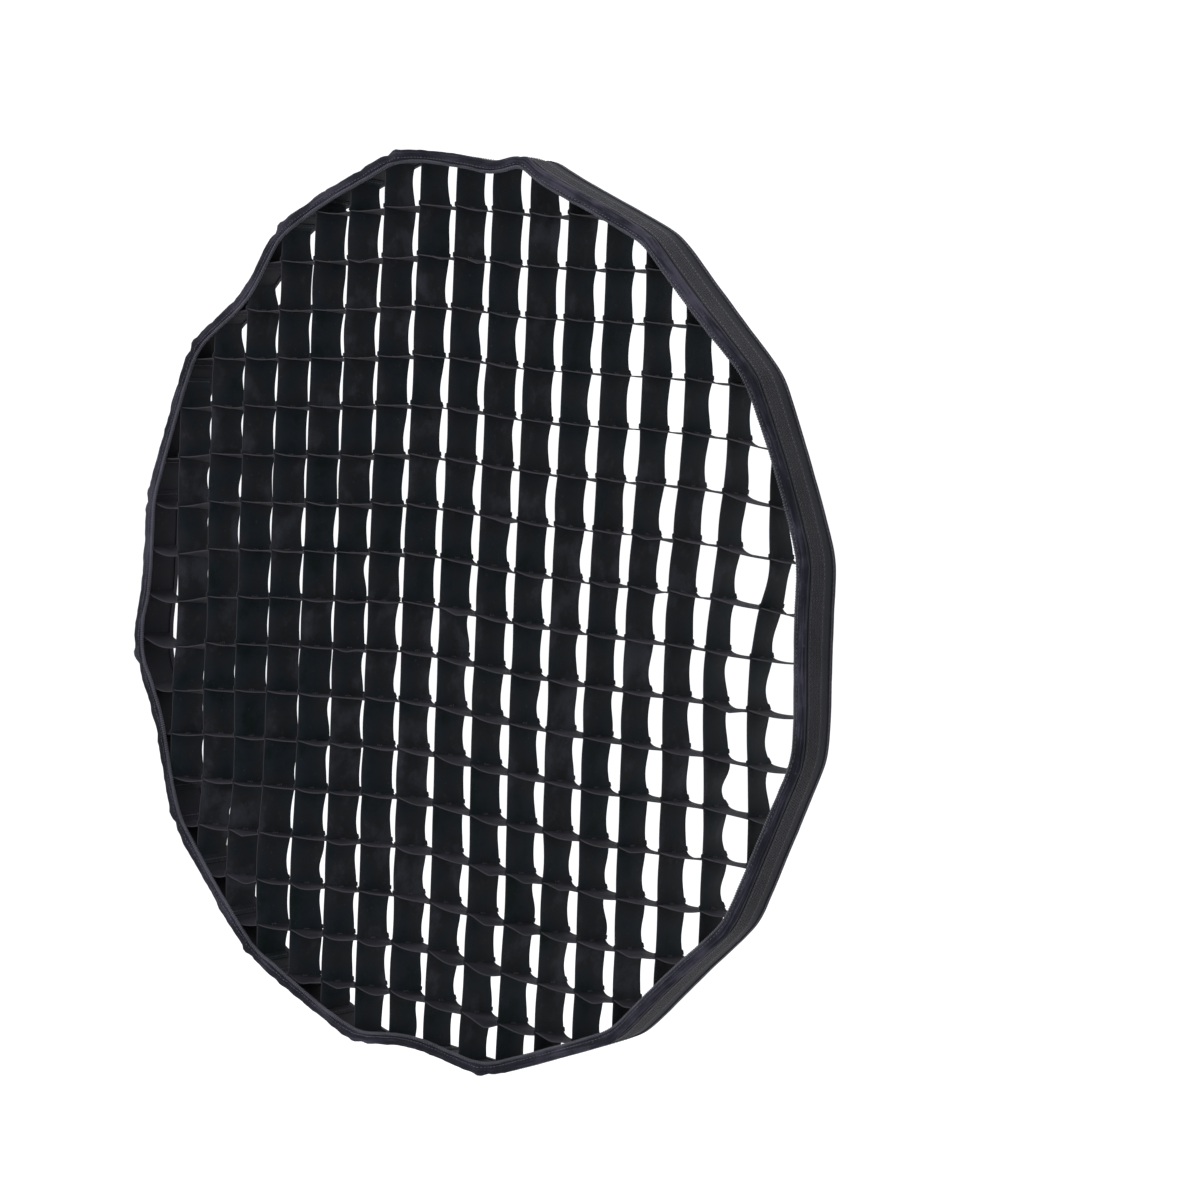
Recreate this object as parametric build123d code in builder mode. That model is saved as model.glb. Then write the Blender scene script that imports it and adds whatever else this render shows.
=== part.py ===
from build123d import *

import os
from math import cos, degrees, pi, sin

# Cloth honeycomb grid for a sixteen-sided softbox of the 90 cm class, in millimetres.
#
# Seventeen upright and seventeen cross strips of coated cloth stand on edge and interlock by half-lap
# slots. Their ends fold over and are sewn to a hoop of border cloth. A rolled hem with piping finishes
# the hoop's front, a binding finishes its rear, and hook tape around the outside fastens the grid in the
# softbox's rim.
#
# The grid stands upright as it does in use: X to the right seen from the front, Y from the front to the
# rear, and Z up. The origin is the centre of the grid, halfway through the depth of the strips.

# Border
sides = 16
width_over_flats = 900.0
hook_tape_thickness = 2.0
hook_tape_width = 25.0
hook_tape_front = -16.0
hook_tape_join = 3.0
hook_tape_join_facet = 13
band_thickness = 1.6
band_rear = 25.0
hem_width = 9.5
hem_depth = 6.0
hem_round = 2.0
piping_diameter = 3.0
piping_round = 1.2
binding_thickness = 1.0
binding_clearance = 0.2

# Strips
strips_each_way = 17
pitch = 49.5
strip_depth = 40.0
cloth = 0.8
slot_play = 0.4
lap_play = 0.2
fold_gap = 0.05
tab_length = 11.5
tab_room = 3.3
least_room = 0.01

# Thread
tack_thread = 0.8
tack_length = 8.0
seam_thread = 0.6
seam_length = 34.0
seam_place = 0.6
tape_thread = 0.4
tape_seam_inset = 3.0

# Worked out from the sizes above
half_turn = pi / sides
tape_outside = width_over_flats / 2
band_outside = tape_outside - hook_tape_thickness
band_inside = band_outside - band_thickness
strip_front = -strip_depth / 2
strip_rear = strip_depth / 2
hem_inside = tape_outside - hem_width
piping_inside = hem_inside - piping_diameter
piping_rear = strip_front - (hem_depth - piping_diameter) / 2
thread_inside = tape_outside - tape_thread
binding_outside = band_outside + binding_thickness
binding_inside = band_inside - binding_thickness
slot_width = cloth + slot_play
slot_length = strip_depth / 2 + lap_play
places = [(n - (strips_each_way - 1) / 2) * pitch for n in range(strips_each_way)]
facet_turns = [2 * half_turn * k for k in range(sides)]
corner = band_inside * sin(half_turn) / cos(half_turn)
join_turn = facet_turns[hook_tape_join_facet]


def reach(offset):
    """Half length of a strip this far off centre, out to the border's inner face."""
    turns = facet_turns[1 : sides // 4 + 1]
    return min((band_inside - abs(offset) * cos(turn)) / sin(turn) for turn in turns)


def facet_at(x, z):
    """Angle of the outward normal of the border facet that a strip end at (x, z) meets."""
    return max(facet_turns, key=lambda turn: x * cos(turn) + z * sin(turn))


def along(x, z, turn):
    """Distance of a point along a facet, from the middle of the facet."""
    return z * cos(turn) - x * sin(turn)


def on_facet(turn, distance, radius):
    """The point at this distance along a facet and this far out from the centre."""
    return (radius * cos(turn) - distance * sin(turn), radius * sin(turn) + distance * cos(turn))


def end_points():
    """Where each strip end meets the border, by kind, strip number and end. Cross strips come first."""
    ends = {}
    for number, offset in enumerate(places):
        for sign in (1, -1):
            ends["cross", number, sign] = (sign * reach(offset), offset)
    for number, offset in enumerate(places):
        for sign in (1, -1):
            ends["upright", number, sign] = (offset, sign * reach(offset))
    return ends


def choose_folds(ends):
    """Which way each strip end folds along its facet, as +1 or -1.

    A cross strip's end folds down and an upright's end folds towards the centre line. Where a strip, a tab
    or a corner of the border leaves too little room for that, the end folds the other way.
    """
    folds = {}
    tab_tips = []
    for (kind, number, sign), (x, z) in ends.items():
        turn = facet_at(x, z)
        here = along(x, z, turn)
        down = -1 if cos(turn) > 0 else 1
        inward = 1 if x * sin(turn) >= 0 else -1
        wish = down if kind == "cross" else inward
        stops = [along(*point, turn) for point in ends.values() if facet_at(*point) == turn]
        stops += [tip for facet, tip in tab_tips if facet == turn]
        stops += [corner, -corner]
        room = min((stop - here) * wish for stop in stops if (stop - here) * wish > least_room)
        fold = wish if room > tab_length + tab_room else -wish
        folds[kind, number, sign] = fold
        tab_tips.append((turn, here + fold * tab_length))
    return folds


ends = end_points()
folds = choose_folds(ends)


def export(piece, name):
    """Label a finished piece and write its file."""
    piece.part.label = name
    export_step(piece.part, f"parts/{name}.step")


def hoop(outside, inside, rear):
    """The profile of a sixteen-sided hoop between two flat radii, at the depth of its rear face."""
    with BuildSketch(Plane.XZ.offset(-rear)) as profile:
        RegularPolygon(outside / cos(half_turn), sides, rotation=degrees(half_turn))
        RegularPolygon(inside / cos(half_turn), sides, rotation=degrees(half_turn), mode=Mode.SUBTRACT)
    return profile.sketch


def blade(kind, number):
    """The profile of a strip's straight length, cut to the border at both ends."""
    offset = places[number]
    size = (cloth, width_over_flats) if kind == "upright" else (width_over_flats, cloth)
    with BuildSketch(Plane.XZ.offset(-strip_rear)) as profile:
        with Locations((offset, 0) if kind == "upright" else (0, offset)):
            Rectangle(*size)
        RegularPolygon(
            band_inside / cos(half_turn), sides, rotation=degrees(half_turn), mode=Mode.INTERSECT
        )
    return profile.sketch


def tab(kind, number, sign):
    """The profile of a strip's folded end, flat against the border and a hair clear of the blade."""
    x, z = ends[kind, number, sign]
    turn = facet_at(x, z)
    fold = folds[kind, number, sign]
    middle = along(x, z, turn) + fold * tab_length / 2
    upright = kind == "upright"
    way = 1 if fold * (-sin(turn) if upright else cos(turn)) > 0 else -1
    blade_side = way * (cloth / 2 + fold_gap - width_over_flats / 2)
    cut = (width_over_flats, 2 * width_over_flats) if upright else (2 * width_over_flats, width_over_flats)
    with BuildSketch(Plane.XZ.offset(-strip_rear)) as profile:
        with Locations(on_facet(turn, middle, band_inside - cloth / 2)):
            Rectangle(tab_length, cloth, rotation=degrees(turn) + 90)
        with Locations((x + blade_side, 0) if upright else (0, z + blade_side)):
            Rectangle(*cut, mode=Mode.SUBTRACT)
    return profile.sketch


def make_strip(kind, number):
    """One strip of cloth: its slotted blade and its two folded tabs."""
    offset = places[number]
    crossings = [place for place in places if abs(place) < reach(offset)]
    slot_middle = (strip_depth - slot_length) / 2
    through = 2 * cloth
    if kind == "upright":
        slots = [(offset, slot_middle, crossing) for crossing in crossings]
        slot_size = (through, slot_length, slot_width)
    else:
        slots = [(crossing, -slot_middle, offset) for crossing in crossings]
        slot_size = (slot_width, slot_length, through)
    with BuildPart() as strip:
        extrude(blade(kind, number), amount=strip_depth)
        with Locations(*slots):
            Box(*slot_size, mode=Mode.SUBTRACT)
        for sign in (1, -1):
            extrude(tab(kind, number, sign), amount=strip_depth)
    export(strip, f"{kind}_strip_{number + 1:02d}")


def make_stitches(kind):
    """The row of thread through every folded tab of one kind of strip."""
    with BuildPart() as stitches:
        with BuildSketch(Plane.XZ.offset(-seam_length / 2)):
            for (end_kind, number, sign), (x, z) in ends.items():
                if end_kind == kind:
                    turn = facet_at(x, z)
                    middle = along(x, z, turn) + folds[end_kind, number, sign] * tab_length * seam_place
                    with Locations(on_facet(turn, middle, band_inside - cloth - seam_thread / 2)):
                        Rectangle(seam_thread, seam_thread, rotation=degrees(turn))
        extrude(amount=seam_length)
    export(stitches, f"{kind}_end_stitches")


os.makedirs("parts", exist_ok=True)

# The strips: uprights from left to right, cross strips from the bottom up
for number in range(strips_each_way):
    make_strip("upright", number)
    make_strip("cross", number)

# Thread in the corner of every crossing, which keeps the half laps together
crossings = [(x, z) for x in places for z in places if abs(z) < reach(x)]
tack_offset = (cloth + tack_thread) / 2
with BuildPart() as crossing_tacks:
    with BuildSketch(Plane.XZ.offset(-tack_length / 2)):
        with Locations(*[(x + tack_offset, z + tack_offset) for x, z in crossings]):
            Rectangle(tack_thread, tack_thread)
    extrude(amount=tack_length)
export(crossing_tacks, "crossing_tacks")

# Thread through the folded ends
for kind in ("upright", "cross"):
    make_stitches(kind)

# The hoop of border cloth that every strip is sewn to
with BuildPart() as border_band:
    extrude(hoop(band_outside, band_inside, band_rear), amount=band_rear - strip_front)
export(border_band, "border_band")

# The rolled hem along the hoop's front edge
with BuildPart() as front_hem:
    extrude(hoop(tape_outside, hem_inside, strip_front), amount=hem_depth)
    fillet(front_hem.edges().group_by(Axis.Y)[0], radius=hem_round)
export(front_hem, "front_hem")

# The piping sewn into the hem's inner edge
with BuildPart() as piping:
    extrude(hoop(hem_inside, piping_inside, piping_rear), amount=piping_diameter)
    fillet(piping.edges().group_by(Axis.Y)[0] + piping.edges().group_by(Axis.Y)[-1], radius=piping_round)
export(piping, "piping")

# The binding folded over the hoop's rear edge
leaf = band_rear - strip_rear - binding_clearance
with BuildPart() as rear_binding:
    extrude(hoop(binding_outside, band_outside, band_rear), amount=leaf)
    extrude(hoop(band_inside, binding_inside, band_rear), amount=leaf)
    extrude(hoop(binding_outside, binding_inside, band_rear + binding_thickness), amount=binding_thickness)
export(rear_binding, "rear_binding")

# The hook tape around the outside, one length whose ends nearly meet on a lower facet
hook_tape_rear = hook_tape_front + hook_tape_width
seam_rows = (hook_tape_front + tape_seam_inset, hook_tape_rear - tape_seam_inset)
through = 2 * hook_tape_thickness
with BuildPart() as hook_tape:
    extrude(hoop(tape_outside, band_outside, hook_tape_rear), amount=hook_tape_width)
    for row in seam_rows:
        extrude(hoop(tape_outside, thread_inside, row), amount=tape_thread, mode=Mode.SUBTRACT)
    with BuildSketch(Plane.XZ.offset(-hook_tape_rear)):
        with Locations(on_facet(join_turn, 0, tape_outside)):
            Rectangle(2 * through, hook_tape_join, rotation=degrees(join_turn))
    extrude(amount=hook_tape_width, mode=Mode.SUBTRACT)
export(hook_tape, "hook_tape")

# The two rows of thread that hold the hook tape on, sunk flush in its bare edges
with BuildPart() as tape_stitches:
    for row in seam_rows:
        extrude(hoop(tape_outside, thread_inside, row), amount=tape_thread)
export(tape_stitches, "tape_stitches")
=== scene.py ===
import random
from math import atan2, cos, exp, hypot, log, pi, radians, sin

import bmesh
import bpy
from mathutils import Matrix, Vector, noise


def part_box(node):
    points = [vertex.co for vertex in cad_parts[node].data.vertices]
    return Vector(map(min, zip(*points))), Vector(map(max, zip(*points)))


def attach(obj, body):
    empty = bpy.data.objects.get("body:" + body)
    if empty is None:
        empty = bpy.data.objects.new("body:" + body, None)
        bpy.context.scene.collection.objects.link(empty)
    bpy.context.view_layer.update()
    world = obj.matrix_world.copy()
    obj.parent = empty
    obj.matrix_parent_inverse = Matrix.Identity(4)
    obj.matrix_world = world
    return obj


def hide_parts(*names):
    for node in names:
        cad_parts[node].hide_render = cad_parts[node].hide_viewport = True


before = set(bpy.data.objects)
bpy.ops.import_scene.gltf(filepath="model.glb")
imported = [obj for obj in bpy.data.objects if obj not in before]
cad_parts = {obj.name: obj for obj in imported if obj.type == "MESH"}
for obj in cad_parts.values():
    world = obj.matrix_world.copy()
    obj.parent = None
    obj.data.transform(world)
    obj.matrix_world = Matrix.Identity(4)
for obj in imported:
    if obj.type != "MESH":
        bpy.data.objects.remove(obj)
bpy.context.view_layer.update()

# The camera stands in front of the grid, to its right and a little above it, and is rolled slightly.
# It is placed from the middle of the grid's front: out along the view, then aside and up from it.
view_turn = radians(40.96)
view_rise = radians(4.74)
view_roll = radians(2.51)
view_distance = 3.130
view_aside = 0.1583
view_above = 0.0149
lens = 94.7

strip_low, strip_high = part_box("upright_strip_09")
back = Vector((sin(view_turn) * cos(view_rise), -cos(view_turn) * cos(view_rise), sin(view_rise)))
level_right = Vector((cos(view_turn), sin(view_turn), 0))
level_up = back.cross(level_right)
right = cos(view_roll) * level_right + sin(view_roll) * level_up
up = cos(view_roll) * level_up - sin(view_roll) * level_right
stand = Vector((0, strip_low.y, 0)) + view_distance * back + view_aside * right + view_above * up
camera = bpy.data.objects.new("camera", bpy.data.cameras.new("camera"))
camera.data.lens = lens
camera.data.clip_end = 100
camera.matrix_world = Matrix.Translation(stand) @ Matrix((right, up, back)).transposed().to_4x4()
bpy.context.scene.collection.objects.link(camera)
bpy.context.scene.camera = camera


# The strips are coated nylon, forty millimetres deep, cut half way through at every crossing and slid
# together. Their cloth is limp, so the whole lattice drifts from square, each cell bows in its own way,
# and the ends fold over against the border.
strips_each_way = 17
strip_thickness = 0.0008
edge_thickness = 0.0010
slot_width = 0.0007
tab_length = 0.0115
tack_thread = 0.0008
millimetre = 0.001

tack_low, tack_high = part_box("crossing_tacks")
pitch = (tack_high.x - tack_low.x - tack_thread) / (strips_each_way - 1)
middle = (strips_each_way - 1) / 2
places = [(number - middle) * pitch for number in range(strips_each_way)]
half_depth = strip_high.y
band_low, band_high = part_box("border_band")
band_cloth = 0.0016
band_inside = band_high.x - band_cloth
sides = 16
half_side = pi / sides
corner_sharpness = 160

# Pulls in the slack lattice: columns right and rows up from the middle, the width and height of the
# pulled patch in cells, and how far it is pulled right and up in millimetres
pulls = (
    (-8.4, 0.5, 0.9, 4.5, 0, -14),
    (-7.3, -2.0, 2.3, 8.0, 0.5, -11),
    (-0.7, 0.0, 1.9, 30, -0.5, 8.5),
    (8.5, 3.0, 1.3, 2.6, 10, -14),
    (8.5, -3.0, 1.0, 2.0, 4, -6),
    (8.3, -5.0, 1.6, 2.0, 3, 8),
    (7.0, 4.5, 1.8, 2.2, 6, -1),
    (5.8, 0.0, 2.4, 2.4, -5.5, -1),
    (-1.6, 0.5, 1.6, 4.5, -3, 0),
    (-5.0, -5.6, 1.3, 1.2, -5.5, -3),
    (-6.6, -3.6, 1.0, 1.0, 6, 2),
    (1.6, -5.6, 2.3, 2.0, 4, 1),
    (4.6, -4.0, 1.3, 2.2, -3.5, -1),
    (-8.2, -0.2, 1.2, 1.7, 5.5, 0),
    (7.6, -0.6, 0.9, 1.6, -5, 0),
    (7.9, 1.7, 0.6, 0.7, 8, 0),
)

# Slack in the border: the angle round from the right, how many degrees it spreads, and how many
# millimetres out it bows
slack = (
    (79, 2.2, 4),
    (84, 3, -2.5),
    (97, 8, 7),
    (112, 9, 5),
    (134, 8, -13),
    (172, 14, -6),
    (186, 3, 5),
    (190, 3, 4),
    (200, 6, -5),
    (225, 14, 5),
    (250, 10, 3),
    (268, 9, -10),
    (300, 12, 2),
    (330, 12, 6),
    (350, 14, 9),
    (20, 14, 7),
    (50, 12, -3),
    (72, 8, -2),
)

# The border bows most at its free front edge, and less at its bound rear one
bow_in_middle = 0.85
bow_lost_behind = 0.25


def drift(x, z):
    """Where a point of the square lattice lies once its slack has moved it."""
    column, row = x / pitch, z / pitch
    for across, up_by, wide, tall, push_right, push_up in pulls:
        share = exp(-(((column - across) / wide) ** 2) - ((row - up_by) / tall) ** 2)
        x += share * push_right * millimetre
        z += share * push_up * millimetre
    return x, z


def rim_point(turn, flat_radius, depth):
    """A point of the border's sixteen-sided line, this far out on its flats, at this depth.

    Its corners are those of a superellipse with sixteen sides, so they are slightly soft.
    """
    bow = 0
    for angle, spread, out in slack:
        away = (turn - radians(angle) + pi) % (2 * pi) - pi
        bow += out * millimetre * exp(-((away / radians(spread)) ** 2))
    bow *= bow_in_middle - bow_lost_behind * depth / half_depth
    beside = (turn + half_side) % (2 * half_side) - half_side
    spans = [cos(beside + step * 2 * half_side) ** corner_sharpness for step in (-1, 0, 1)]
    radius = (flat_radius + bow) / sum(spans) ** (1 / corner_sharpness)
    return radius * cos(turn), radius * sin(turn)


def lattice_point(kind, place, along):
    """A drifted point of one strip's middle line, this far along it."""
    return drift(place, along) if kind == "upright" else drift(along, place)


# An end is found by halving the distance between the middle and a place past the border
past_border = 1.1
halvings = 30


def end_of(kind, place, sign):
    """How far along its strip an end reaches the border, and the angle round the border there."""
    inside, outside = 0, sign * band_inside * past_border
    for _ in range(halvings):
        along = (inside + outside) / 2
        x, z = lattice_point(kind, place, along)
        turn = atan2(z, x)
        if hypot(x, z) < hypot(*rim_point(turn, band_inside, 0)):
            inside = along
        else:
            outside = along
    return along, turn


def fold_of(kind, number, place, sign):
    """Which way round the border the end of a strip is folded, as its solid has it."""
    side, length = (0, 2) if kind == "upright" else (2, 0)
    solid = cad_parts[f"{kind}_strip_{number:02d}"].data.vertices
    offsets = [point.co[side] - place for point in solid if point.co[length] * sign > 0]
    folded_up = max(offsets, key=abs) > 0
    way = -sign if kind == "upright" else sign
    return way if folded_up else -way


round_rim = 2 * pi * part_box("hook_tape")[1].x

# Where the cloth may bend: shares of a cell along a strip, and distances in from its cut edges
cell_steps = [0.045, 0.09, 0.105, 0.16, 0.23, 0.3, 0.38, 0.46, 0.54, 0.62, 0.7, 0.77, 0.84, 0.9, 0.955]
edge_steps = [0, 0.0006, 0.0014, 0.005, 0.009, 0.0135, 0.018]


def stations(ends):
    """Places along a strip for its cross lines, and which of its gaps are slots."""
    crossings = [place for place in places if ends[0] < place < ends[1]]
    marks = [ends[0], *crossings, ends[1]]
    half_slot = slot_width / 2
    lines = []
    slots = []
    for start, stop in zip(marks, marks[1:]):
        first = start if start == ends[0] else start + half_slot
        last = stop if stop == ends[1] else stop - half_slot
        lines += [first, *(start + step * (stop - start) for step in cell_steps), last]
        slots.append(len(lines) - 1)
    return lines, slots[:-1], crossings


def hump(t, peak):
    """Rises from nothing at 0 to one at the peak and back to nothing at 1."""
    return sin(pi * t ** (log(0.5) / log(peak)))


def fade(value, at, softness):
    """One well below this value and nothing well above it, with a soft step between."""
    return 1 / (1 + exp((value - at) / softness))


# How far the cloth of a cell bends, in millimetres: the least and the most, or the usual spread
rear_bow = (1.4, 4.6)
front_bow_spread = 0.7
front_bow_lean = 0.3
wave_spread = 0.7
kick = (0.1, 1.3)
front_sag = (0.2, 2.2)
rear_sag = (1.5, 5.5)
edge_lift = 0.8
middle_sag = 0.4
crease_drop = 2.4

# Shares of a cell where its bends peak and where it may be creased, and how many cells are creased
bow_peak = (0.36, 0.6)
rear_sag_peak = 0.3
crease_place = (0.3, 0.7)
crease_reach = 0.3
crease_share = 0.07

# Rows and columns, counted from the middle, past which the cloth hangs looser or is drawn taut
loose_row = -2
loose_column = 6
taut_row = 3.8


class Cell:
    """How the cloth of one strip bends between two of its crossings."""

    def __init__(self, chance, kind, column, row):
        low = max(0, loose_row - row) / 6
        edge = max(0, abs(column) - loose_column) / 2
        high = fade(-row, -taut_row, 0.5)
        self.kind = kind
        self.peak = chance.uniform(*bow_peak)
        self.front = chance.gauss(0, front_bow_spread) - front_bow_lean
        self.rear = -chance.uniform(*rear_bow) * (1 + 0.5 * edge)
        self.wave = chance.gauss(0, wave_spread) * (1 + 1.2 * low + edge)
        self.kick = chance.uniform(*kick) * (1 + low)
        self.front_sag = chance.uniform(*front_sag) * (1 + 1.6 * low)
        self.rear_sag = chance.uniform(*rear_sag) * (1 + 0.35 * low + 0.2 * edge) * (1 - 0.5 * high)
        self.creased = chance.random() < crease_share + 0.2 * low
        self.crease = chance.uniform(*crease_place)

    def bend(self, t, depth):
        """How far the cloth is bent aside, in metres, at a share of the cell's length.

        The depth is -1 at the strip's front edge and 1 at its rear. The rear of a cross strip starts to
        sag only clear of the slots, so that no light shows through them.
        """
        ahead, behind = (1 - depth) / 2, (1 + depth) / 2
        arch = hump(t, self.peak)
        if self.kind == "upright":
            move = ahead * self.front * arch + behind ** 1.3 * self.rear * abs(arch)
            return millimetre * (move + behind * self.wave * sin(2 * pi * t))
        front = self.kick * (1 - t) ** 3 - self.front_sag * arch - edge_lift * t**4
        if self.creased:
            front -= crease_drop * max(0, 1 - abs(t - self.crease) / crease_reach)
        clear = min(max((t - 0.015) / 0.97, 0), 1)
        rear = -self.rear_sag * hump(clear, rear_sag_peak)
        return millimetre * (max(0, -depth) * front + ahead * -middle_sag * arch + behind * rear)


# The rear of the lattice leans to the right on its left side: how far in millimetres, the column at which
# that ends, and over how many columns. It leans back to the left near its right side, and drops.
leans = ((4.9, 2.5, 1.8), (2.4, -5.6, 0.5))
low_left_lean = 1.8
right_lean = -5.5
right_lean_column = 7.8
drop_everywhere = 1.2
drop_at_bottom = 1.6
drop_above_middle = 1.2


def hang(x, z, depth):
    """How far a point of the lattice leans off its middle line, right and up, in metres.

    The depth is -1 at its front and 1 at its rear, and only what lies behind the front leans.
    """
    behind = (1 + depth) / 2
    column, row = x / pitch, z / pitch
    low = max(0, -row - 3) / 5
    lean = sum(size * fade(column, at, softness) for size, at, softness in leans)
    lean += low_left_lean * fade(column, -3.4, 0.5) * fade(row, -1.5, 0.6)
    lean += right_lean * exp(-(((column - right_lean_column) / 1.3) ** 2))
    drop = drop_everywhere + drop_at_bottom * low + drop_above_middle * fade(-row, 0, 1)
    drop -= fade(-row, -taut_row, 0.5)
    return lean * millimetre * behind, -drop * millimetre * behind


# Just above each crossing the slotted edge of an upright stands proud, at the mouth of its slot
nub_height = 0.0018
nub_length = 0.0045


def make_strip(kind, number):
    """One strip's cloth: its slotted length, bent cell by cell, and its folded ends.

    It is one sheet of squares, laid out flat, moved point by point to where its cloth lies, with its
    slots then cut out. It remembers how far along and across the cloth each point is.
    """
    place = places[number - 1]
    ends = [end_of(kind, place, sign) for sign in (-1, 1)]
    (start, start_turn), (stop, stop_turn) = ends
    lines, slots, crossings = stations((start, stop))
    tab_steps = (0.0009, 0.0024, 0.0060, 0.0090, tab_length)
    tabs = len(tab_steps)
    depths = [-half_depth + step for step in edge_steps]
    depths += [half_depth - step for step in reversed(edge_steps)]
    columns = len(lines) + 2 * tabs
    chance = random.Random(f"{kind} {number}")
    marks = [start, *crossings, stop]
    cells = []
    for low_mark, high_mark in zip(marks, marks[1:]):
        centre = (low_mark + high_mark) / 2 / pitch
        spot = (place / pitch, centre) if kind == "upright" else (centre, place / pitch)
        cells.append(Cell(chance, kind, *spot))
    folds = [fold_of(kind, number, place, sign) for sign in (-1, 1)]

    def blade_point(along, depth):
        """Where the cloth of the strip's straight length lies."""
        share = depth / half_depth
        index = sum(along > mark for mark in marks[1:-1])
        t = (along - marks[index]) / (marks[index + 1] - marks[index])
        x, z = lattice_point(kind, place, along)
        lean, drop = hang(x, z, share)
        short = min(1, (marks[index + 1] - marks[index]) / pitch)
        bend = cells[index].bend(min(max(t, 0), 1), share) * short
        x += lean + (bend if kind == "upright" else 0)
        z += drop + (bend if kind == "cross" else 0)
        return Vector((x, depth, z))

    def rim_end(turn, depth):
        """Where the fold at a strip's end touches the border."""
        x, z = rim_point(turn, band_inside - strip_thickness / 2, depth)
        return Vector((x, depth, z))

    bm = bmesh.new()
    bmesh.ops.create_grid(bm, x_segments=columns - 1, y_segments=len(depths) - 1, size=1)
    along_layer = bm.verts.layers.float.new("along")
    across_layer = bm.verts.layers.float.new("across")
    slot_faces = []
    for face in bm.faces:
        middle_of_face = face.calc_center_median()
        column = int((middle_of_face.x + 1) / 2 * (columns - 1)) - tabs
        cut = middle_of_face.y > 0 if kind == "upright" else middle_of_face.y < 0
        if column in slots and cut:
            slot_faces.append(face)
    for point in bm.verts:
        column = round((point.co.x + 1) / 2 * (columns - 1)) - tabs
        depth = depths[round((point.co.y + 1) / 2 * (len(depths) - 1))]
        if 0 <= column < len(lines):
            along = lines[column]
            spot = blade_point(along, depth)
            if along < marks[1]:
                share = (marks[1] - along) / (marks[1] - start)
                spot += share * (rim_end(start_turn, depth) - blade_point(start, depth))
            elif along > marks[-2]:
                share = (along - marks[-2]) / (stop - marks[-2])
                spot += share * (rim_end(stop_turn, depth) - blade_point(stop, depth))
            if kind == "upright" and crossings:
                above = min((along - crossing for crossing in crossings if along > crossing), default=1)
                if above < nub_length:
                    spot.y += nub_height * (depth / half_depth) ** 5
        else:
            first = column < 0
            step = tab_steps[-1 - column] if first else tab_steps[column - len(lines)]
            turn = start_turn if first else stop_turn
            fold = folds[0] if first else folds[1]
            along = (start - step) if first else (stop + step)
            spot = rim_end(turn + fold * step / band_inside, depth)
        point[along_layer] = along
        point[across_layer] = depth
        point.co = spot
    bmesh.ops.delete(bm, geom=slot_faces, context="FACES")
    loose = [point for point in bm.verts if not point.link_faces]
    bmesh.ops.delete(bm, geom=loose, context="VERTS")
    return bm, stop - start + 2 * tab_length


def lay_weave(bm, girth=0):
    """Give the cloth its weave's coordinates: metres along it and across it, or round a roll's girth.

    Faces that join the two ends of a ring, or of a roll's girth, run on past the end of the weave.
    """
    weave = bm.loops.layers.uv.new("weave")
    along_layer = bm.verts.layers.float["along"]
    across_layer = bm.verts.layers.float["across"]
    for face in bm.faces:
        alongs = [corner.vert[along_layer] for corner in face.loops]
        acrosses = [corner.vert[across_layer] for corner in face.loops]
        wraps = max(alongs) - min(alongs) > 1
        closes = girth and max(acrosses) - min(acrosses) > girth / 2
        for corner in face.loops:
            along, across = corner.vert[along_layer], corner.vert[across_layer]
            if wraps and along < 0:
                along += round_rim
            if closes and across < girth / 2:
                across += girth
            corner[weave].uv = (along, across)


def piece_of(bm, name, cloth):
    """Make a finished mesh a piece of the grid, in this material."""
    mesh = bpy.data.meshes.new(name)
    bm.to_mesh(mesh)
    bm.free()
    mesh.shade_smooth()
    mesh.materials.append(cloth)
    piece = bpy.data.objects.new(name, mesh)
    bpy.context.scene.collection.objects.link(piece)
    return piece


def thicken(piece, thickness, edge=None):
    """Give a sheet its thickness, more along its cut edges if they have a bead, and crisp its edges."""
    solid = piece.modifiers.new("cloth", "SOLIDIFY")
    solid.offset = 0
    solid.thickness = edge or thickness
    if edge:
        across = piece.data.attributes["across"].data
        rims = piece.vertex_groups.new(name="bead")
        reach = max(abs(item.value) for item in across) - 0.001
        rims.add([n for n, item in enumerate(across) if abs(item.value) > reach], 1, "REPLACE")
        solid.vertex_group = "bead"
        solid.thickness_vertex_group = thickness / edge
    scene_state = bpy.context.evaluated_depsgraph_get()
    done = bpy.data.meshes.new_from_object(piece.evaluated_get(scene_state))
    piece.modifiers.clear()
    piece.vertex_groups.clear()
    piece.data = done
    done.set_sharp_from_angle(angle=radians(40))


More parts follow.
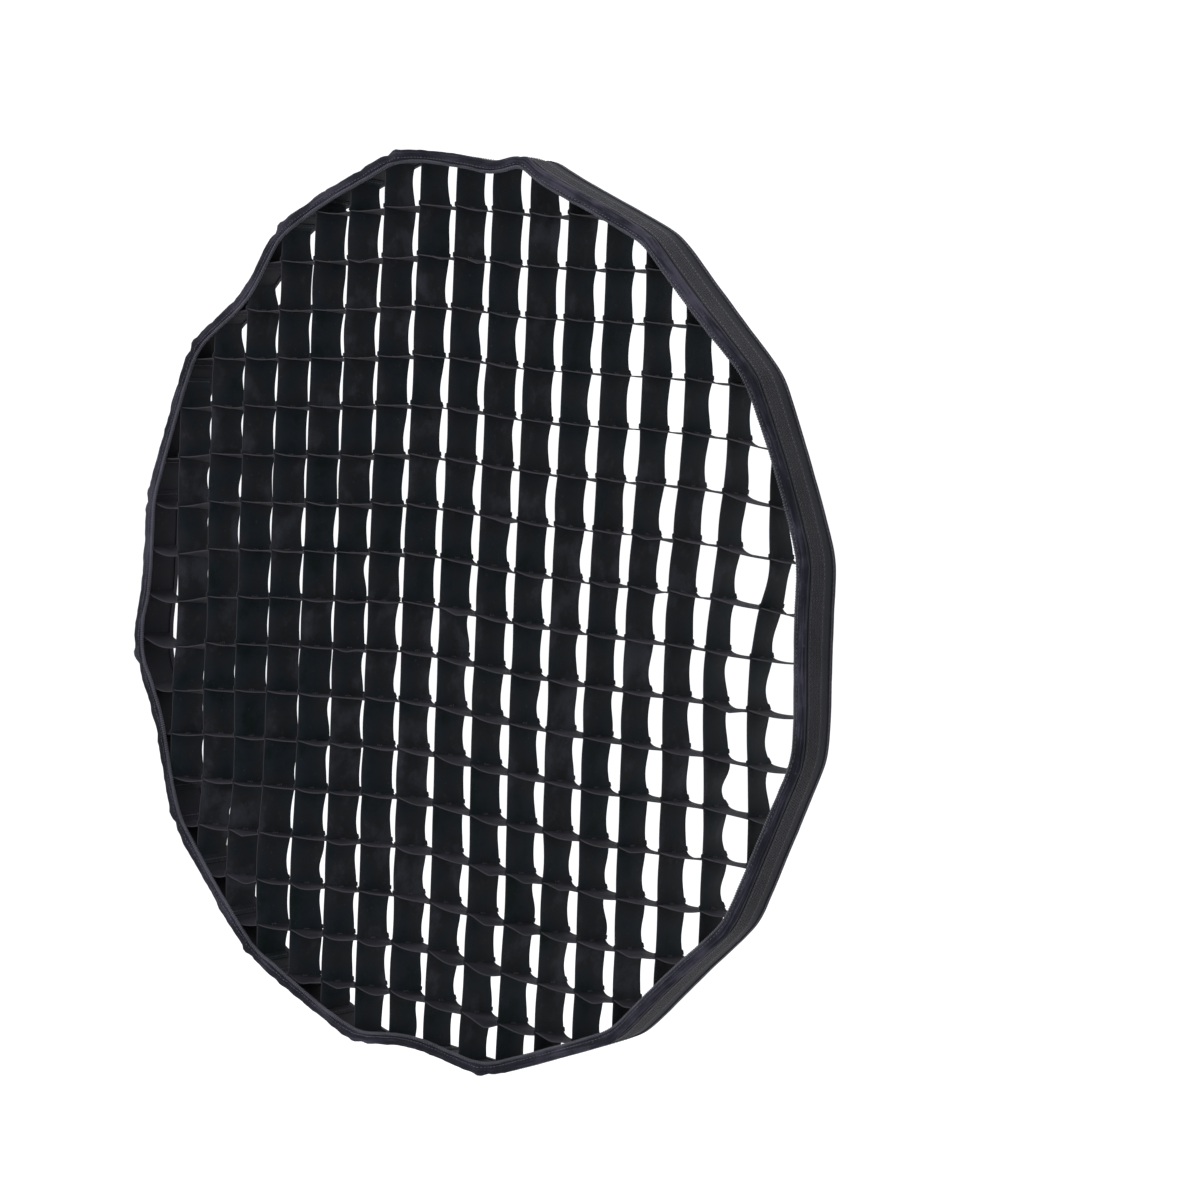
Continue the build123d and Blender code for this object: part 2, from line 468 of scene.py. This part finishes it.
class Shade:
    """A socket of a shader. Arithmetic on it adds Math nodes, and node() adds any other node."""

    def __init__(self, tree, socket=None):
        self.tree = tree
        self.socket = socket

    def node(self, kind, settings=None, output=0, **values):
        """Add a node: its settings first, then values or links for its sockets, by name or by number."""
        made = self.tree.nodes.new(f"ShaderNode{kind}")
        for name, value in (settings or {}).items():
            if name == "stops":
                for spare in list(made.color_ramp.elements)[2:]:
                    made.color_ramp.elements.remove(spare)
                for number, (position, colour) in enumerate(value):
                    stops = made.color_ramp.elements
                    stop = stops[number] if number < 2 else stops.new(position)
                    stop.position = position
                    stop.color = colour
            else:
                setattr(made, name, value)
        for name, value in values.items():
            key = int(name[1:]) if name[0] == "_" else name.replace("_", " ")
            if isinstance(value, Shade):
                self.tree.links.new(value.socket, made.inputs[key])
            else:
                made.inputs[key].default_value = value
        return Shade(self.tree, made.outputs[output])

    def sum(self, operation, first, second):
        return self.node("Math", {"operation": operation}, _0=first, _1=second)

    def __add__(self, other):
        return self.sum("ADD", self, other)

    __radd__ = __add__

    def __mul__(self, other):
        return self.sum("MULTIPLY", self, other)

    __rmul__ = __mul__

    def __sub__(self, other):
        return self.sum("SUBTRACT", self, other)

    def __rsub__(self, other):
        return self.sum("SUBTRACT", other, self)

    def __gt__(self, other):
        return self.sum("GREATER_THAN", self, other)


def start_cloth(name, **constants):
    """A new material's shader graph, with values that are the same all over set on its shader."""
    cloth = bpy.data.materials.new(name)
    cloth.use_nodes = True
    shader = cloth.node_tree.nodes["Principled BSDF"]
    for socket, value in constants.items():
        shader.inputs[socket.replace("_", " ")].default_value = value
    return cloth, Shade(cloth.node_tree), shader.inputs


# The mottle's values at which a cloth's first and last tones come, and the tone of its lint
darkest = 0.4
palest = 0.68
lint_tone = (0.05, 0.05, 0.055, 1)


def woven(name, tones, threads, relief, sheen, gloss=0.12, roughness=0.72, edge=None, painted_crease_streaks=0.0):
    """Plain-woven cloth: mottled through its tones, with this many threads to the metre.

    It carries a little lint. Its cut edges may be paler, partly with fray and partly with a painted
    highlight where light catches the cut edge, and a rolled cloth is paler and darker along its creases,
    as painted crease shade and highlight.
    """
    cloth, graph, sockets = start_cloth(
        name, Sheen_Weight=sheen, Sheen_Roughness=0.45, Specular_IOR_Level=gloss
    )
    place = graph.node("TexCoord", output="Object")
    weave = graph.node("UVMap", {"uv_map": "weave"})
    blotch = graph.node("TexNoise", Vector=place, Scale=23, Detail=5, Roughness=0.6)
    cloud = graph.node("TexNoise", Vector=place, Scale=6, Detail=3)
    fibre = graph.node("TexNoise", Vector=place, Scale=1400, Detail=2)
    lint = graph.node("TexNoise", Vector=place, Scale=330, Detail=0) > 0.82
    bands = threads / 20 * pi
    warp = graph.node("TexWave", {"bands_direction": "X"}, Vector=weave, Scale=bands, Distortion=0.4)
    weft = graph.node("TexWave", {"bands_direction": "Y"}, Vector=weave, Scale=bands, Distortion=0.4)
    mix = blotch * 0.65 + cloud * 0.3 + fibre * 0.15
    # Along the creases the colour is painted darker and paler, as painted crease shade and highlight over
    # the real crease bump added below.
    if painted_crease_streaks:
        drawn = graph.node("Mapping", Vector=weave, Scale=(26, 620, 1))
        crease = graph.node("TexNoise", Vector=drawn, Scale=1, Detail=3)
        mix = mix + (crease - 0.5) * painted_crease_streaks
    steps = [
        (darkest + (palest - darkest) * number / (len(tones) - 1), (*tone, 1))
        for number, tone in enumerate(tones)
    ]
    tone = graph.node("ValToRGB", {"stops": steps}, Fac=mix)
    colour = graph.node("Mix", {"data_type": "RGBA"}, 2, _0=lint * 0.35, _6=tone, _7=lint_tone)
    # The cut edges' paler colour is partly fray and partly a painted highlight, the light catching the
    # cut edge.
    if edge:
        across = graph.node("SeparateXYZ", output=1, Vector=weave)
        cut = graph.node("Math", {"operation": "ABSOLUTE"}, _0=across) > half_depth - 0.0007
        fray_and_painted_highlight = cut * (fibre * 0.8 + blotch * 0.9)
        colour = graph.node("Mix", {"data_type": "RGBA"}, 2, _0=fray_and_painted_highlight, _6=colour, _7=edge)
    graph.tree.links.new(colour.socket, sockets["Base Color"])
    rough = blotch * 0.16 + warp * 0.05 + (roughness - 0.08)
    graph.tree.links.new(rough.socket, sockets["Roughness"])
    height = warp * weft * 0.6 + blotch * 1.2 + fibre * 0.3
    if painted_crease_streaks:
        height = height + crease * 1.5
    bump = graph.node("Bump", Height=height, Strength=relief, Distance=0.0003)
    graph.tree.links.new(bump.socket, sockets["Normal"])
    return cloth


# Both strips are the same coated nylon, given two tone sets as lit and shaded copies of it. The cross
# cloth's purple cast is painted top light, the light its upward faces catch from above, and its cut-edge
# colour is a paler painted highlight than the upright's.
strip_threads = 1900
strip_cloths_lit_and_shaded = {
    "upright": woven(
        "upright_cloth",
        (
            (0.0036, 0.0078, 0.0076),
            (0.0094, 0.0138, 0.0186),
            (0.0138, 0.0138, 0.0160),
            (0.0275, 0.0305, 0.0390),
        ),
        strip_threads,
        relief=0.5,
        sheen=0.02,
        gloss=0.06,
        edge=(0.020, 0.019, 0.024, 1),
    ),
    "cross": woven(
        "cross_cloth_painted_top_light",
        ((0.0034, 0.0042, 0.0064), (0.0072, 0.0072, 0.0118), (0.0165, 0.0150, 0.0235)),
        strip_threads,
        relief=0.5,
        sheen=0.02,
        gloss=0.08,
        edge=(0.027, 0.025, 0.029, 1),
    ),
}

for kind in ("upright", "cross"):
    for number in range(1, strips_each_way + 1):
        bm, cut_length = make_strip(kind, number)
        lay_weave(bm)
        strip = piece_of(bm, f"{kind}_cloth_{number:02d}", strip_cloths_lit_and_shaded[kind])
        thicken(strip, strip_thickness, edge_thickness)
        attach(strip, "root")
        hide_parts(f"{kind}_strip_{number:02d}")


# The tacks are a few turns of polyester thread in the corner of every crossing. They catch both strips
# and keep their half laps together.
thread_width = 0.0006


def stitch(bm, spot, length, width, along):
    """One stitch: a short plump length of thread, lying along this direction."""
    turned = Vector(along).to_track_quat("Z", "Y").to_matrix().to_4x4()
    shaped = Matrix.Diagonal((width / 2, width / 2, length / 2, 1))
    placed = Matrix.Translation(spot) @ turned @ shaped
    bmesh.ops.create_icosphere(bm, subdivisions=1, radius=1, matrix=placed)


def spun_thread(name, colour):
    """Polyester thread: a dark strand, painted paler where its twist catches the light, as a painted
    highlight.
    """
    cloth, graph, sockets = start_cloth(name, Roughness=0.5, Sheen_Weight=0.2)
    place = graph.node("TexCoord", output="Object")
    twist = graph.node("TexNoise", Vector=place, Scale=900, Detail=2)
    # The paler tone is a painted highlight along the thread's twist.
    paler = [2 * part for part in colour[:3]] + [1]
    tone = graph.node("ValToRGB", {"stops": ((0.3, colour), (0.8, paler))}, Fac=twist)
    graph.tree.links.new(tone.socket, sockets["Base Color"])
    bump = graph.node("Bump", Height=twist, Strength=0.4, Distance=0.0001)
    graph.tree.links.new(bump.socket, sockets["Normal"])
    return cloth


thread = spun_thread("thread", (0.02, 0.02, 0.026, 1))
tack_reach = (strip_thickness + tack_thread) / 2
tack_turns = (-0.0022, 0, 0.0022)
tack_turn_length = 0.003
bm = bmesh.new()
chance = random.Random("tacks")
for place in places:
    ends = [end_of("upright", place, sign)[0] for sign in (-1, 1)]
    for crossing in places:
        if ends[0] < crossing < ends[1]:
            x, z = drift(place, crossing)
            for lap in tack_turns:
                lean, drop = hang(place, crossing, lap / half_depth)
                spot = Vector((x + lean + tack_reach, lap, z + drop + tack_reach))
                way = (chance.uniform(0.5, 1), chance.uniform(-1.5, 1.5), -1)
                stitch(bm, spot, tack_turn_length, thread_width, way)
tacks = piece_of(bm, "crossing_tack_thread", thread)
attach(tacks, "root")
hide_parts("crossing_tacks")

# The folded ends are each sewn to the border by one row of stitches along their depth, in the same
# thread as the tacks.
row_place = 0.6 * tab_length
row_half = 0.017
stitch_pitch = 0.004
for kind in ("upright", "cross"):
    bm = bmesh.new()
    for number, place in enumerate(places, 1):
        for sign in (-1, 1):
            along, turn = end_of(kind, place, sign)
            turn += fold_of(kind, number, place, sign) * row_place / band_inside
            rows = int(2 * row_half / stitch_pitch)
            for row in range(rows + 1):
                depth = -row_half + row * stitch_pitch
                x, z = rim_point(turn, band_inside - strip_thickness - thread_width / 3, depth)
                stitch(bm, Vector((x, depth, z)), 0.75 * stitch_pitch, thread_width, (0, 1, 0))
    seam = piece_of(bm, f"{kind}_end_thread", thread)
    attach(seam, "root")
    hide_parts(f"{kind}_end_stitches")

# The border is a hoop of heavier woven cloth that goes round all the strips. Every strip is sewn to its
# inside, which puckers it.
ring_steps = 640
tape_low, tape_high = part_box("hook_tape")
band_outside = band_high.x
tape_outside = tape_high.x


def spin_ring(profile, closed=False, part=1.0, start=0.0):
    """Spin a profile of (radius, depth) points round the middle of the grid, or part of the way round."""
    bm = bmesh.new()
    along_layer = bm.verts.layers.float.new("along")
    across_layer = bm.verts.layers.float.new("across")
    points = [bm.verts.new((radius, depth, 0)) for radius, depth in profile]
    pairs = list(zip(points, points[1:]))
    if closed:
        pairs.append((points[-1], points[0]))
    edges = [bm.edges.new(pair) for pair in pairs]
    travelled = 0
    for before, after in zip([points[0]] + points, points):
        travelled += (after.co - before.co).length
        after[across_layer] = travelled
    bmesh.ops.spin(
        bm, geom=points + edges, cent=(0, 0, 0), axis=(0, -1, 0), dvec=(0, 0, 0),
        angle=2 * pi * part, steps=round(ring_steps * part), use_merge=part == 1,
    )
    bmesh.ops.rotate(bm, verts=bm.verts, cent=(0, 0, 0), matrix=Matrix.Rotation(start, 3, (0, -1, 0)))
    bmesh.ops.recalc_face_normals(bm, faces=bm.faces)
    for point in bm.verts:
        point[along_layer] = atan2(point.co.z, point.co.x) * tape_outside
    return bm


def follow_rim(bm, pucker=None):
    """Bring what was spun on a true circle onto the border's sixteen-sided line."""
    for point in bm.verts:
        radius, turn, depth = hypot(point.co.x, point.co.z), atan2(point.co.z, point.co.x), point.co.y
        if pucker:
            radius, depth = pucker(turn, radius, depth)
        x, z = rim_point(turn, radius, depth)
        point.co = (x, depth, z)


def ripple(turn, depth, length, seed):
    """Smooth chance in -1 to 1 along the border, with bumps of about this length in metres."""
    ring = Vector((cos(turn), sin(turn), 0)) * tape_outside / length
    return noise.noise(ring + Vector((seed, -seed, depth / length)))


pucker_height = 0.000175


def band_pucker(turn, radius, depth):
    """The hoop's cloth is drawn in a little by its seams and stands off between them."""
    out = pucker_height * (2 * ripple(turn, depth, 0.03, 3) + ripple(turn, depth, 0.011, 8))
    return radius + out, depth


band_line = (band_outside + band_inside) / 2
band_rows = 12
band_depth = band_high.y - band_low.y
border_threads = 1300
# The hoop is the hem's cloth, but its tones are kept darker: partly the cloth's own black, partly painted
# shade over the hoop's inside face.
border_weave_black_and_painted_shade = woven(
    "border_cloth",
    ((0.0044, 0.0050, 0.0070), (0.0105, 0.0108, 0.0155)),
    border_threads,
    relief=0.6,
    sheen=0.03,
)
bm = spin_ring([(band_line, band_low.y + band_depth * row / band_rows) for row in range(band_rows + 1)])
follow_rim(bm, band_pucker)
lay_weave(bm)
band = piece_of(bm, "border_cloth", border_weave_black_and_painted_shade)
thicken(band, band_cloth)
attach(band, "root")
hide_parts("border_band")

# The hem is a strip of the border's cloth, rolled round the hoop's front edge into a soft lip. Its cloth
# is gathered a little by its seam, and it folds over itself at the sixteen corners.
hem_low, hem_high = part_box("front_hem")
piping_low, piping_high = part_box("piping")
hem_inside = piping_high.x
hem_depth = hem_high.y - hem_low.y
hem_sides = 18
seam_bite = 0.0008
pleat_spread = 0.010
gather_height = 0.45
pleat_height = 1.4


def rounded(inside, outside, front, rear, points, squareness=0.6):
    """A closed profile of (radius, depth) points: a rounded rectangle between these limits."""
    profile = []
    for number in range(points):
        angle = 2 * pi * number / points
        across, ahead = cos(angle), sin(angle)
        across = abs(across) ** squareness * (1 if across > 0 else -1)
        ahead = abs(ahead) ** squareness * (1 if ahead > 0 else -1)
        radius = (inside + outside) / 2 + across * (outside - inside) / 2
        depth = (front + rear) / 2 + ahead * (rear - front) / 2
        profile.append((radius, depth))
    return profile


def corner_share(turn, spread):
    """One at a corner of the border, falling to nothing within this many radians of it."""
    beside = turn % (2 * half_side) - half_side
    return exp(-((beside / spread) ** 2))


def hem_pucker(turn, radius, depth):
    """Gathers along the hem, with a pleat at each corner. Its rear lies still, sewn to the hoop."""
    free = (hem_high.y - depth) / hem_depth
    gathers = 1.1 * ripple(turn, 0, 0.009, 1) + 1.2 * ripple(turn, depth, 0.022, 5)
    pleat = corner_share(turn + 1.5 * pleat_spread, pleat_spread)
    pleat -= corner_share(turn - pleat_spread, pleat_spread)
    outer = (radius - hem_inside) / (tape_outside - hem_inside)
    crease = abs(ripple(turn, 0.6 * radius, 0.016, 12)) ** 0.5
    radius += millimetre * outer * (gather_height * gathers + pleat_height * pleat)
    forward = 0.8 * gathers + 1.3 * pleat + 0.8 * ripple(turn, radius, 0.05, 9) - 1.2 * crease
    depth -= millimetre * forward * min(1, 1.6 * free)
    return radius, depth


# The hem's colour is painted darker and paler along its creases: painted crease shade and highlight.
hem_cloth = woven(
    "hem_cloth",
    ((0.0028, 0.0030, 0.0060), (0.0085, 0.0084, 0.0145), (0.0275, 0.0265, 0.0385)),
    border_threads,
    relief=1.0,
    sheen=0.03,
    gloss=0.07,
    painted_crease_streaks=0.6,
)
profile = rounded(hem_inside - seam_bite, tape_outside, hem_low.y, hem_high.y + seam_bite / 2, hem_sides)
bm = spin_ring(profile, closed=True)
follow_rim(bm, hem_pucker)
lay_weave(bm, girth=2 * (hem_depth + tape_outside - hem_inside) * 0.86)
hem = piece_of(bm, "rolled_hem", hem_cloth)
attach(hem, "root")
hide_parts("front_hem")

# The piping is a cord sewn into a cloth of its own. Its tone, paler than the hem's, is a painted
# highlight, the front light catching the lip's rounded crest. It is caught in the hem's inner edge and
# keeps that edge firm.
piping_sides = 10


def piping_pucker(turn, radius, depth):
    """The piping's cloth is slightly uneven along its cord."""
    uneven = ripple(turn, 0, 0.012, 2)
    return radius + 0.35 * millimetre * uneven, depth + 0.3 * millimetre * ripple(turn, 0, 0.02, 6)


# The piping's paler tones are a painted highlight along the lip's crest.
piping_cloth_painted_highlight = woven(
    "piping_cloth_painted_highlight",
    ((0.016, 0.016, 0.024), (0.052, 0.051, 0.071)),
    threads=1500,
    relief=0.6,
    sheen=0.1,
)
piping_width = piping_high.y - piping_low.y
piping_inside = hem_inside - piping_width
profile = rounded(piping_inside, hem_inside, piping_low.y, piping_high.y, piping_sides, 1)
bm = spin_ring(profile, closed=True)
follow_rim(bm, piping_pucker)
lay_weave(bm, girth=pi * piping_width)
piping = piece_of(bm, "piping_cord", piping_cloth_painted_highlight)
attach(piping, "root")
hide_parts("piping")


def stitch_row(radius, depth, length, gap):
    """A row of stitches right round the border, spun from one stitch."""
    bm = bmesh.new()
    stitch(bm, Vector((radius, depth, 0)), length, thread_width, (0, 0, 1))
    bmesh.ops.spin(
        bm, geom=list(bm.verts) + list(bm.edges) + list(bm.faces), cent=(0, 0, 0), axis=(0, -1, 0),
        angle=2 * pi, steps=round(2 * pi * radius / (length + gap)), use_duplicate=True,
    )
    return bm


# One row of lockstitch in the same thread runs round the hem's face, close to its inner edge, and holds
# the piping in.
hem_row = hem_inside + 0.0016
stitch_length = 0.0030
stitch_gap = 0.0012
bm = stitch_row(hem_row, hem_low.y + 0.0002, stitch_length, stitch_gap)
follow_rim(bm, hem_pucker)
hem_seam = piece_of(bm, "hem_thread", thread)
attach(hem_seam, "root")

# The piping is whipped all the way round with loops of a slightly paler thread, which roughen the inner
# edge of the border. Each loop goes from the piping's rear round its inside to its front.
loops_round_rim = 1150
bm = bmesh.new()
loop_radius = piping_width / 2 + 0.0004
loop_centre = Vector(((piping_inside + hem_inside) / 2, (piping_low.y + piping_high.y) / 2, 0))
tip = bmesh.ops.create_circle(bm, segments=4, radius=thread_width / 2)["verts"]
loop_start = loop_centre + Vector((0, loop_radius, 0))
bmesh.ops.translate(bm, verts=tip, vec=loop_start)
bmesh.ops.rotate(bm, verts=tip, cent=loop_start, matrix=Matrix.Rotation(pi / 2, 3, "Y"))
bmesh.ops.spin(
    bm, geom=list(bm.verts) + list(bm.edges), cent=loop_centre, axis=(0.1, 0, 1), dvec=(0, 0, 0.0002),
    angle=1.15 * pi, steps=6,
)
bmesh.ops.holes_fill(bm, edges=bm.edges, sides=4)
bmesh.ops.recalc_face_normals(bm, faces=bm.faces)
bmesh.ops.spin(
    bm, geom=list(bm.verts) + list(bm.edges) + list(bm.faces), cent=(0, 0, 0), axis=(0, -1, 0),
    angle=2 * pi, steps=loops_round_rim, use_duplicate=True,
)
follow_rim(bm, piping_pucker)
overlock_thread = spun_thread("overlock_thread", (0.032, 0.031, 0.044, 1))
overlock = piece_of(bm, "hem_overlock", overlock_thread)
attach(overlock, "root")

# The rear edge of the hoop is bound with a ribbed polyester tape. It is folded over the edge, one leaf
# on each side, and sewn through near its outer leaf's edge.
binding_low, binding_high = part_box("rear_binding")
binding_cloth = 0.001
binding = woven(
    "binding_tape",
    ((0.0080, 0.0080, 0.0120), (0.0190, 0.0185, 0.0260)),
    threads=900,
    relief=0.9,
    sheen=0.05,
)
outer_leaf = binding_high.x - binding_cloth / 2
inner_leaf = band_inside - binding_cloth / 2
crown = binding_high.y - binding_cloth / 2
leaf = crown - binding_low.y
leaf_rows = (0, 0.3, 0.6, 0.85)
fold_in = 0.0004
fold_down = 0.0001
profile = [(outer_leaf, binding_low.y + leaf * share) for share in leaf_rows]
profile.append((outer_leaf - fold_in, crown - fold_down))
profile.append((band_line, crown))
profile.append((inner_leaf + fold_in, crown - fold_down))
profile += [(inner_leaf, binding_low.y + leaf * share) for share in reversed(leaf_rows)]
bm = spin_ring(profile)
follow_rim(bm, band_pucker)
lay_weave(bm)
rear_tape = piece_of(bm, "rear_binding_tape", binding)
thicken(rear_tape, binding_cloth)
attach(rear_tape, "root")
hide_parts("rear_binding")

binding_row = binding_low.y + 0.0012
bm = stitch_row(outer_leaf + binding_cloth / 2, binding_row, stitch_length, stitch_gap)
follow_rim(bm, band_pucker)
binding_seam = piece_of(bm, "binding_thread", thread)
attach(binding_seam, "root")

# Hook tape runs round the outside in one length: a woven backing with bare edges, and a field of small
# nylon hooks between its two rows of stitches.
backing = 0.0008
join_turn = radians(292.5)
join_gap = 0.003 / (2 * pi * tape_outside)
tape_line = band_outside + backing / 2
tape_rows = 6
tape_depth = tape_high.y - tape_low.y
tape_cloth = woven(
    "hook_tape",
    ((0.0060, 0.0060, 0.0085), (0.0150, 0.0150, 0.0200)),
    threads=1100,
    relief=0.8,
    sheen=0.05,
)
profile = [(tape_line, tape_low.y + tape_depth * row / tape_rows) for row in range(tape_rows + 1)]
bm = spin_ring(profile, part=1 - join_gap, start=join_turn + join_gap * pi)
follow_rim(bm, band_pucker)
lay_weave(bm)
tape = piece_of(bm, "hook_tape_backing", tape_cloth)
thicken(tape, backing)
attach(tape, "root")
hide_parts("hook_tape")

bm = bmesh.new()
hook_rows = 8
hook_pitch = 0.0023
hook_foot = 0.00028
hook_tip = 0.00020
hook_lean = 0.0005
hook_height = tape_outside - band_outside - backing
bare_edge = 0.0045
field = tape_depth - 2 * bare_edge
for row in range(hook_rows):
    depth = tape_low.y + bare_edge + field * row / (hook_rows - 1)
    spot = Vector((tape_outside - hook_height / 2, depth, 0))
    aside = Matrix.Rotation(hook_pitch / 2 / tape_outside * (row % 2), 4, "Y")
    stem = bmesh.ops.create_cone(
        bm, cap_ends=True, segments=3, radius1=hook_foot, radius2=hook_tip, depth=hook_height,
        matrix=aside @ Matrix.Translation(spot) @ Matrix.Rotation(pi / 2, 4, "Y"),
    )["verts"]
    top = [point for point in stem if hypot(point.co.x, point.co.z) > tape_outside - hook_height / 2]
    bmesh.ops.translate(bm, verts=top, vec=(-0.0001, hook_lean * (-1) ** row, 0.0003))
bmesh.ops.spin(
    bm, geom=list(bm.verts) + list(bm.edges) + list(bm.faces), cent=(0, 0, 0), axis=(0, -1, 0),
    angle=2 * pi, steps=round(2 * pi * tape_outside / hook_pitch), use_duplicate=True,
)
in_join = [
    point for point in bm.verts
    if abs((atan2(point.co.z, point.co.x) - join_turn + pi) % (2 * pi) - pi) < 1.6 * join_gap * pi
]
bmesh.ops.delete(bm, geom=in_join, context="VERTS")
follow_rim(bm, band_pucker)
nylon, graph, sockets = start_cloth("hook_nylon", Base_Color=(0.02, 0.02, 0.024, 1), Roughness=0.35)
grain = graph.node("TexNoise", Vector=graph.node("TexCoord", output="Object"), Scale=500, Detail=1)
graph.tree.links.new((grain * 0.3 + 0.25).socket, sockets["Roughness"])
hooks = piece_of(bm, "hook_tape_hooks", nylon)
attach(hooks, "root")

tape_rows_of_thread = bmesh.new()
seam_inset = 0.003
for depth in (tape_low.y + seam_inset, tape_high.y - seam_inset):
    bm = stitch_row(band_outside + backing, depth, stitch_length, stitch_gap)
    follow_rim(bm, band_pucker)
    row_mesh = bpy.data.meshes.new("row")
    bm.to_mesh(row_mesh)
    bm.free()
    tape_rows_of_thread.from_mesh(row_mesh)
    bpy.data.meshes.remove(row_mesh)
tape_seam = piece_of(tape_rows_of_thread, "tape_thread", thread)
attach(tape_seam, "root")
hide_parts("tape_stitches")


# The studio has a plain pale floor some way below the grid, a white surround, and two soft lights, one
# in front on the left and one overhead.
scene = bpy.context.scene
scene.view_settings.view_transform = "Standard"
floor_drop = 1.1
bm = bmesh.new()
bmesh.ops.create_circle(bm, cap_ends=True, segments=96, radius=40)
bmesh.ops.translate(bm, verts=bm.verts, vec=(0, 0, -floor_drop))
floor_paint = start_cloth("floor_paint", Base_Color=(0.95, 0.95, 0.95, 1), Roughness=0.9)[0]
floor = piece_of(bm, "floor", floor_paint)

world = bpy.data.worlds.new("surround")
world.use_nodes = True
surround = world.node_tree.nodes["Background"].inputs
surround["Color"].default_value = (0.97, 0.985, 1, 1)
surround["Strength"].default_value = 1.14
scene.world = world


def soft_light(name, spot, size, watts):
    """A square soft light at a spot, turned to the middle of the grid."""
    lamp = bpy.data.lights.new(name, "AREA")
    lamp.size = size
    lamp.energy = watts
    light = bpy.data.objects.new(name, lamp)
    light.location = spot
    light.rotation_euler = (-Vector(spot)).to_track_quat("-Z", "Y").to_euler()
    scene.collection.objects.link(light)


soft_light("key", (-0.6, -2.9, 2.6), size=1.6, watts=55)
soft_light("top", (0.2, -0.8, 2.6), size=1.8, watts=50)
